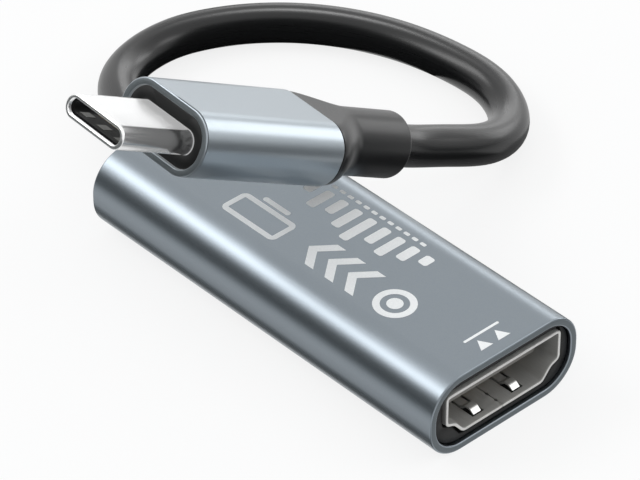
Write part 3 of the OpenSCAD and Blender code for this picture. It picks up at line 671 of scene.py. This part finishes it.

# %% [markdown]
# ## The cable
#
# The cable leaves the box, drops to the table, swings round in one loop and comes up into the plug, as
# the picture shows from end to end. A few points of the route are listed, the same ones as in the
# construction, and a cubic spline runs smoothly through them. The spline's slopes come from one set of
# linear equations: the curvature is equal on both sides of every point. The jacket is then a circle
# carried along it, and each point also remembers where it would lie on the straight cable, so that the
# finish can follow the bends.

# %% Find the plug's place
PLUG_L, SHELL_REACH = 18.4, 8.6
RELIEF_L = 12.5

plug_mount = next(m for m in frame["record"]["mounts"] if m["name"] == "reversible_plug")
plug_axis = np.array(plug_mount["axis"])
plug_side = unit(np.cross([0, 0, 1], plug_axis))
plug_top = np.cross(plug_axis, plug_side)
plug_back = np.array(plug_mount["pos_m"]) / MM - (PLUG_L + SHELL_REACH) * plug_axis


def on_plug(x):
    """The point on the plug's middle line, x mm before the sleeve's back end."""
    return plug_back + x * plug_axis


def in_plug(section, x):
    """A section across the plug, at place x along it."""
    return on_plug(x) + section[:, :1] * plug_side + section[:, 1:] * plug_top


print("the sleeve's back end in mm:", plug_back.round(2))

# %% Lay the cable
LOOP_POINTS = np.array([
    [0.8, 6.7, 4.2], [2.8, 10, 3.7], [5.1, 13.3, 3], [7.7, 15.8, 2.4], [11.1, 17.4, 2.1],
    [16.3, 17.6, 2.1], [20.2, 16.3, 2.1], [24.2, 13.9, 2.1], [27.6, 10.8, 2.1], [30.5, 6.9, 2.1],
    [32.6, 2.6, 2.1], [33.9, -2, 2.1], [34.4, -5.5, 2.1], [34.1, -11.2, 2.1], [32.6, -14.6, 2.1],
    [29.8, -17.4, 2.6], [25.2, -19, 4], [19.9, -18.3, 6]])
GLAND_RUNS = (0, 1.9, 3.8)
RELIEF_RUNS = (3, 0, -6.3, -12.5)
CABLE_RINGS = 420


def spline(points, count):
    """A smooth curve through points: cubics that meet with equal curvature, timed by distance."""
    step = np.linalg.norm(np.diff(points, axis=0), axis=1)
    knots = np.append(0, np.cumsum(step))
    chord = np.diff(points, axis=0) / step[:, None]
    n = len(points)
    matrix, right = np.eye(n), np.concatenate([chord[:1], np.zeros((n - 2, 3)), chord[-1:]])
    inner = np.arange(1, n - 1)
    matrix[inner, inner - 1], matrix[inner, inner + 1] = step[1:], step[:-1]
    matrix[inner, inner] = 2 * (step[:-1] + step[1:])
    right[inner] = 3 * (step[1:, None] * chord[:-1] + step[:-1, None] * chord[1:])
    slope = np.linalg.solve(matrix, right)
    at = np.linspace(0, knots[-1], count)
    k = np.clip(np.searchsorted(knots, at, side="right") - 1, 0, n - 2)
    t = ((at - knots[k]) / step[k])[:, None]
    h = step[k][:, None]
    return ((1 + 2 * t) * (1 - t) ** 2 * points[k] + t * (1 - t) ** 2 * h * slope[k]
            + t ** 2 * (3 - 2 * t) * points[k + 1] - t ** 2 * (1 - t) * h * slope[k + 1])


def remember(piece, name, places):
    """Stores a place in mm with every point of a piece, for its finish to read."""
    kept = piece.data.attributes.new(name, "FLOAT_VECTOR", "POINT")
    kept.data.foreach_set("vector", (places * MM).astype(np.float32).ravel())


cable_exit = np.array([0, cap_high[1], mid_z])
route = np.concatenate([
    [cable_exit + [0, run, 0] for run in GLAND_RUNS], LOOP_POINTS + [0, far_y, 0],
    [on_plug(-RELIEF_L - run) for run in RELIEF_RUNS]])
line = spline(route, CABLE_RINGS)
forward = unit(np.gradient(line, axis=0))
sideways = unit(np.cross([0, 0, 1], forward))
upwards = np.cross(forward, sideways)
ring = circle(CABLE_D / 2, CABLE_SIDES)
cable_rings = line[:, None] + ring[:, :1] * sideways[:, None] + ring[:, 1:] * upwards[:, None]
run_length = np.append(0, np.cumsum(np.linalg.norm(np.diff(line, axis=0), axis=1)))
print("cable length in mm:", round(run_length[-1], 1))

# PVC-free soft jacket, extruded: satin black, with faint lines drawn along it by the die.
jacket = grained(
    "extruded_cable_jacket", ("#0b0c0d", "#0f1011"), (0.27, 0.3), 0.12, 0.0004, (1, 1, 40),
    along="straight_cable", IOR=1.5)
cable = build("cable", [(cable_rings, False)], jacket)
unrolled = np.concatenate([
    np.broadcast_to(ring, (CABLE_RINGS, *ring.shape)),
    np.broadcast_to(run_length[:, None, None], (CABLE_RINGS, len(ring), 1))], axis=-1)
remember(cable, "straight_cable", unrolled)

# %% [markdown]
# ## Lamps for the cable alone
#
# A black cable shows its roundness only by its highlights. In the picture they run along its top and its
# right-hand bend, and the metal beside it shows nothing from there. A photographer would shade two small
# lamps with barn doors. Light linking does the same: a lamp gets a collection of what it lights, and
# here that is the cable.

# %% Light the cable
cable_only = bpy.data.collections.new("lit_by_the_cable_lamps")
cable_only.objects.link(cable)
cable_lamps = [
    softbox("softbox_cable_top", 146, 61, 600, 120, 130, 12.0),
    softbox("softbox_cable_right", 106, 20, 600, 600, 300, 1.0)]
for lamp in cable_lamps:
    lamp.light_linking.receiver_collection = cable_only
print("lamps for the cable alone:", [lamp.name for lamp in cable_lamps])

# %% [markdown]
# ## The bush and the strain relief
#
# Where the cable leaves the box it is held by a rubber bush with a tapered nose. At the plug a longer
# rubber piece flares out to meet the sleeve's section: an even S, from round at the cable's side to the
# sleeve's rounded rectangle, with a fine groove left where it meets the sleeve. One ring formula gives
# every section on the way: a circle of radius r whose four quarters are moved apart by a and b.

# %% Turn the bush
GLAND_FLANGE, GLAND_FLANGE_STEP, GLAND_NOSE_WALL, GLAND_TIP_ROUND = 1.0, 0.5, 0.4, 0.25
TURN_SIDES = 96


def spread_ring(a, b, r):
    """A circle of radius r with its quarters moved apart by a across and b upwards."""
    t = (np.arange(TURN_SIDES) + 0.5) * 2 * np.pi / TURN_SIDES
    return np.stack([np.sign(np.cos(t)) * a + r * np.cos(t), np.sign(np.sin(t)) * b + r * np.sin(t)], axis=-1)


gland_low, gland_high = (np.array(corner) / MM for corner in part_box("cable_gland"))
bore_r, neck_r = CABLE_D / 2 + FIT, CABLE_D / 2 + GLAND_WALL
tip_r = CABLE_D / 2 + GLAND_NOSE_WALL
flange_r = neck_r + GLAND_FLANGE_STEP
gland_profile = [
    (bore_r, gland_low[1]), (flange_r, gland_low[1]), (flange_r, gland_low[1] + GLAND_FLANGE),
    (neck_r, gland_low[1] + GLAND_FLANGE), (neck_r, far_y - GLAND_TIP_ROUND), (neck_r - FIT, far_y + FIT),
    (tip_r + FIT, gland_high[1] - GLAND_TIP_ROUND), (tip_r - FIT, gland_high[1] - FIT),
    (bore_r, gland_high[1])]
gland_rings = np.stack([in_box(spread_ring(0, 0, r), y) for r, y in gland_profile])
gland = build("cable_gland", [(gland_rings, True)], black_rubber)

# %% Flare the strain relief
PLUG_W, PLUG_H, PLUG_R, PLUG_WALL = 12.0, 6.5, 3.0, 0.7
RELIEF_R, RELIEF_FLARE, RELIEF_ROUND, RELIEF_STEP, RELIEF_ROOT = 3.3, 5.4, 0.5, 0.1, 3.0
RELIEF_GROOVE = 0.18
FERRULE_R, FERRULE_L = 2.53, 4.4
FLARE_RINGS, ROUND_RINGS = 28, 8


def relief_flare(u):
    """Ring of the flare at u, from 0 where it is round to 1 at the sleeve: all sizes follow an even S."""
    g = smooth_step(u)
    r = RELIEF_R + g * (PLUG_R - RELIEF_STEP - RELIEF_R)
    ring = spread_ring(g * (PLUG_W / 2 - PLUG_R), g * (PLUG_H / 2 - PLUG_R), r)
    return in_plug(ring, (u - 1) * (RELIEF_FLARE - RELIEF_GROOVE) - RELIEF_GROOVE)


def relief_tip(t):
    """Ring of the rounded end, t from 0 on the end face to a right angle on the side."""
    r = RELIEF_R - RELIEF_ROUND * (1 - np.sin(t))
    return in_plug(spread_ring(0, 0, r), RELIEF_ROUND * (1 - np.cos(t)) - RELIEF_L)


root_r = PLUG_R - PLUG_WALL - FIT
root = spread_ring(PLUG_W / 2 - PLUG_R, PLUG_H / 2 - PLUG_R, root_r)
seat, bore = spread_ring(0, 0, FERRULE_R), spread_ring(0, 0, bore_r)
relief_rings = np.stack(
    [relief_tip(t) for t in np.radians(np.linspace(0, 90, ROUND_RINGS))]
    + [relief_flare(u) for u in np.linspace(0, 1, FLARE_RINGS)]
    + [in_plug(root, x) for x in (-RELIEF_GROOVE, FIT, RELIEF_ROOT)]
    + [in_plug(seat, RELIEF_ROOT), in_plug(seat, -FERRULE_L / 2)]
    + [in_plug(bore, -FERRULE_L / 2), in_plug(bore, -RELIEF_L)])
relief = build("strain_relief", [(relief_rings, True)], black_rubber)

# %% [markdown]
# ## The plug
#
# The plug repeats the box: an anodised sleeve whose grey is painted lighter for the light on it, with a
# bevelled rim, sawn off duller than its side and darker by painted shade, and a black face a little below
# it. The steel shell that goes into a socket is drawn from sheet. Its mouth is rolled in to a thick rounded
# lip, which shows as a bright double line. Bright steel takes its shading from the sleeve's end behind it,
# which is hidden from glossy rays, so two cards in that plane paint its reflection: a grey one for its side
# and one that glows for its top.

# %% Build the plug's sleeve, face and steel shell
PLUG_BEVEL, PLUG_INNER_BEVEL = 0.14, 0.1
FACE_RECESS, FACE_T = 0.2, 1.5
SHELL_W, SHELL_H, SHELL_SHEET, SHELL_TAIL = 8.25, 2.4, 0.2, 9.0
LIP_DEPTH, LIP_LENGTH, LIP_ROUND, LIP_INNER_ROUND = 0.4, 0.42, 0.2, 0.08
STADIUM_FLAT = 0.02


def plug_outline(d):
    """The plug's section, drawn in by d."""
    return rounded_outline(PLUG_W - 2 * d, PLUG_H - 2 * d, PLUG_R - d)


def steel_outline(d):
    """The steel shell's section with full round ends, drawn in by d."""
    return rounded_outline(SHELL_W - 2 * d, SHELL_H - 2 * d, SHELL_H / 2 - d - STADIUM_FLAT)


def upright(section, x):
    """The same section in the plug's own directions: across, up and along."""
    return np.column_stack([section, np.full(len(section), x)])


plug_profile = tube_profile(0, PLUG_L, PLUG_WALL, PLUG_BEVEL, PLUG_INNER_BEVEL)
plug_rings = carried(plug_outline, plug_profile, in_plug)
plug_sleeve = build("plug_sleeve", [(plug_rings, True)], plug_anodised_painted_light)
# The plug's rim gets its sawn finish: duller, and darker by painted shade.
finish_rows(plug_sleeve, plug_rings.shape[1], range(RIM_ROWS[0], RIM_ROWS[1] + 1), plug_cut_end_painted_shade)
face_end = PLUG_L - FACE_RECESS
face_start = face_end - FACE_T
face_rings = plate(
    lambda d: plug_outline(PLUG_WALL + FIT + d), lambda d: steel_outline(-FIT - d),
    face_start, face_end, in_plug)
plug_face = build("plug_face", [(face_rings, True)], black_abs)

shell_start, shell_tip = PLUG_L - SHELL_TAIL, PLUG_L + SHELL_REACH
lip = tube_profile(shell_start, shell_tip, LIP_DEPTH, LIP_ROUND, LIP_INNER_ROUND)[:2 * (EDGE_STEPS + 1)]
lip_end = shell_tip - LIP_LENGTH
shell_profile = np.concatenate([
    lip, [(LIP_DEPTH, lip_end), (SHELL_SHEET, lip_end), (SHELL_SHEET, shell_start), (0, shell_start)]])
plug_shell = build(
    "plug_shell", [(carried(steel_outline, shell_profile, in_plug), True)], bright_steel)
remember(plug_shell, "along_plug", carried(steel_outline, shell_profile, upright))
# Two cards in the face's plane paint the steel's reflection: a grey one for its side, and one that glows for
# its top.
steel_flag = np.array([(3.6, -3), (13, -3), (13, 10), (-8, 10), (2.9, 1.2)])
mirror_card("shade_card_by_steel", in_plug(steel_flag, face_end), "#6c6c6c")
mirror_card("glowing_card_in_face", in_plug(plug_outline(PLUG_WALL), face_end - 2 * MOULD_EDGE), "#b2b2b2", 1.0)

# %% [markdown]
# ## The print
#
# The box carries a white print on its top. It is a generic set of pictograms of a signal's way: a dot in
# a ring, chevrons, a screen on its foot, level bars and a row of ticks, with two small arrows into the
# box beside the socket. Each shape is a thin slab of ink on the flat top: an outline drawn twice, a few
# hundredths of a millimetre apart.

# %% Print the top
INK_SINK, INK_RISE = 0.006, 0.014


def slab(outline, hole=None):
    """A thin slab of ink on the box's top: an outline in X and Y, perhaps with a hole of as many points."""
    low, high = (np.full((len(outline), 1), case_h + z) for z in (-INK_SINK, INK_RISE))
    rings = [np.hstack([outline, low]), np.hstack([outline, high])]
    if hole is None:
        return np.stack(rings), False
    return np.stack(rings + [np.hstack([hole, high]), np.hstack([hole, low])]), True


def frame_slab(centre, w, h, r, stroke):
    """A rounded frame of ink with an even stroke."""
    hole = rounded_outline(w - 2 * stroke, h - 2 * stroke, r - stroke)
    return slab(centre + rounded_outline(w, h, r), centre + hole)


def bar_slab(centre, w, h, r):
    """A filled bar with round corners."""
    return slab(centre + rounded_outline(w, h, r))


def chevron_slab(centre, half_width, depth, stroke):
    """A V whose point looks along +Y: two arms of an even thickness along Y."""
    x = np.array([-1, 0, 1, 1, 0, -1]) * half_width
    y = np.array([-depth, 0, -depth, -depth - stroke, -stroke, -depth - stroke])
    return slab(np.stack([x, y + depth / 2], axis=-1) + centre)


def arrow_slab(centre, half_width, depth):
    """A triangle whose point looks along +Y."""
    return slab(np.array([[-half_width, 0], [half_width, 0], [0, depth]]) + centre)


LEFT_ROW, RIGHT_ROW, TICK_ROW = -2.9, 2.2, 5.1
DOT_Y, SCREEN_Y, ARROW_Y, INLET_Y = -12, 6.2, -22.2, -20.3
CHEVRONS_Y = (-6.6, -3.9, -1.2)
LEVELS = (1.4, 2.4, 3.4, 2.8, 4.2, 3.4, 2.4, 3.0, 1.6)
LEVELS_Y = np.arange(-9.4, 8.0, 1.95)
TICKS_Y = np.arange(-7.4, 6.0, 1.1)

dot = np.array([LEFT_ROW, DOT_Y])
marks = [frame_slab(dot, 4.2, 4.2, 2.1, 0.7), bar_slab(dot, 1.6, 1.6, 0.8)]
marks += [chevron_slab(np.array([LEFT_ROW, y]), 2.1, 1.7, 1.15) for y in CHEVRONS_Y]
marks += [
    frame_slab(np.array([LEFT_ROW - 0.4, SCREEN_Y]), 3.4, 7.4, 0.7, 0.6),
    bar_slab(np.array([LEFT_ROW + 1.9, SCREEN_Y]), 0.6, 3.6, 0.29)]
marks += [
    bar_slab(np.array([RIGHT_ROW + (max(LEVELS) - w) / 2, y]), w, 1.1, 0.3) for y, w in zip(LEVELS_Y, LEVELS)]
marks += [bar_slab(np.array([TICK_ROW, y]), 0.4, 0.7, 0.15) for y in TICKS_Y]
marks += [arrow_slab(np.array([x, ARROW_Y]), 0.75, 1.3) for x in (-1.1, 1.1)]
marks += [bar_slab(np.array([0, INLET_Y]), 4.4, 0.28, 0.13)]
build("top_print", marks, ink, stands_for=[])

# %% [markdown]
# ## Inside the box and the plug
#
# The remaining pieces keep the meshes of the frame, and each gets the finish of its real material, but the
# plug's ground springs and latch plate are darkened by painted shade, and the socket's tongue is painted
# pale as painted light. Most of them are hidden inside, and a few show in the two mouths: the socket's
# tongue and contacts, and the plug's insulator with its ground springs.

# %% Finish the carried-over pieces
# Glass-filled nylon in a warm grey, painted pale as painted light on the tongue deep in the socket's shade:
# it shows as a pale strip under the socket's edge.
grey_nylon_painted_light = grained(
    "moulded_grey_nylon_painted_light", ("#6a6763", "#74716c"), (0.45, 0.58), 0.16, 0.003, (1, 3, 1), IOR=1.53)
# Liquid crystal polymer, moulded thin: dead black in the plug's mouth, with a faint flow grain.
black_polymer = grained(
    "moulded_black_polymer", ("#0a0b0b", "#0f1010"), (0.6, 0.7), 0.16, 0.003, (1, 3, 1), IOR=1.5,
    Specular_IOR_Level=0.1)
# Spring strip, hardened: dull, and darkened by painted shade beside the bright shell.
spring_strip_painted_shade = grained(
    "matt_spring_strip_painted_shade", ("#464644", "#525250"), (0.5, 0.6), 0.1, 0.0005, (8, 1, 1), Metallic=1.0)
# Solder mask over glass laminate: green gloss with the weave just showing through.
solder_mask = grained("solder_masked_laminate", ("#0f4a2c", "#1a6a40"), (0.25, 0.4), 0.5, 0.01, IOR=1.52)
# Moulded epoxy of chip packages: grey black with a fine filler grain.
epoxy = grained("moulded_epoxy_package", ("#1d1e20", "#292a2d"), (0.5, 0.66), 0.12, 0.004, IOR=1.55)
# Tin-plated brass lids and crimps: pale, with soft reflections.
tin_plate = grained(
    "tin_plated_lid", ("#b4b8bb", "#c4c8cb"), (0.3, 0.42), 0.1, 0.002, (6, 1, 1), Metallic=1.0)
# Fired ceramic of chip parts: warm, dense and smooth.
ceramic = grained("fired_ceramic_chip", ("#9d8259", "#b79a6b"), (0.35, 0.5), 0.2, 0.002, IOR=1.6)
# Ferrite of the inductor: dark grey and granular.
ferrite = grained("sintered_ferrite", ("#44474a", "#5b5e62"), (0.45, 0.6), 0.15, 0.006, IOR=1.6)
# Silicone filled with alumina: soft, dull and pale blue.
silicone = grained("filled_silicone_pad", ("#8ea5b6", "#a5b9c8"), (0.6, 0.75), 0.3, 0.01, IOR=1.43)
# Extruded wire insulation: red, smooth and slightly glossy.
wire_skin = grained(
    "extruded_wire_insulation", ("#9c2f27", "#b03a30"), (0.3, 0.4), 0.2, 0.002, (1, 10, 1), IOR=1.5)
# Low-pressure hot-melt moulding: dark, waxy and uneven.
hot_melt = grained("hot_melt_moulding", ("#2f3133", "#3c3e41"), (0.4, 0.55), 0.8, 0.02, IOR=1.48)

kept_nodes = {
    grey_nylon_painted_light: ("socket_insulator",),
    black_polymer: ("plug_insulator",),
    gold: ("socket_contacts_upper", "socket_contacts_lower", "plug_contacts_upper", "plug_contacts_lower"),
    spring_strip_painted_shade: ("plug_ground_springs", "plug_latch_plate"),
    solder_mask: ("main_board", "plug_board"),
    epoxy: ("capture_chip", "memory_chip", "voltage_regulator", "line_protectors"),
    tin_plate: ("clock_crystal", "cable_ferrule"),
    ceramic: ("chip_capacitors", "chip_resistors"),
    ferrite: ("power_inductor",),
    silicone: ("thermal_pad",),
    wire_skin: ("board_wires", "plug_wires"),
    hot_melt: ("plug_inner_mould",),
}
for finish, names in kept_nodes.items():
    for name in names:
        node_mesh = frame["nodes"][name].data
        node_mesh.materials.clear()
        node_mesh.materials.append(finish)
print("carried-over nodes:", sum(map(len, kept_nodes.values())))

# %% [markdown]
# ## Hidden from mirror images
#
# The picture shows no mirror image of the plug or the cable in the box under them, so the cable and
# everything that hangs on it are hidden from glossy rays, which changes this picture and not the object.

in_the_sleeve = [frame["nodes"][name] for name in (
    "cable_ferrule", "plug_inner_mould", "plug_board", "plug_wires")]
in_the_mouth = [frame["nodes"][name] for name in (
    "plug_insulator", "plug_contacts_upper", "plug_contacts_lower", "plug_ground_springs",
    "plug_latch_plate")]
on_the_cord = [gland, relief, plug_sleeve, plug_face, plug_shell] + in_the_sleeve + in_the_mouth
for piece in [cable] + on_the_cord:
    piece.visible_glossy = False
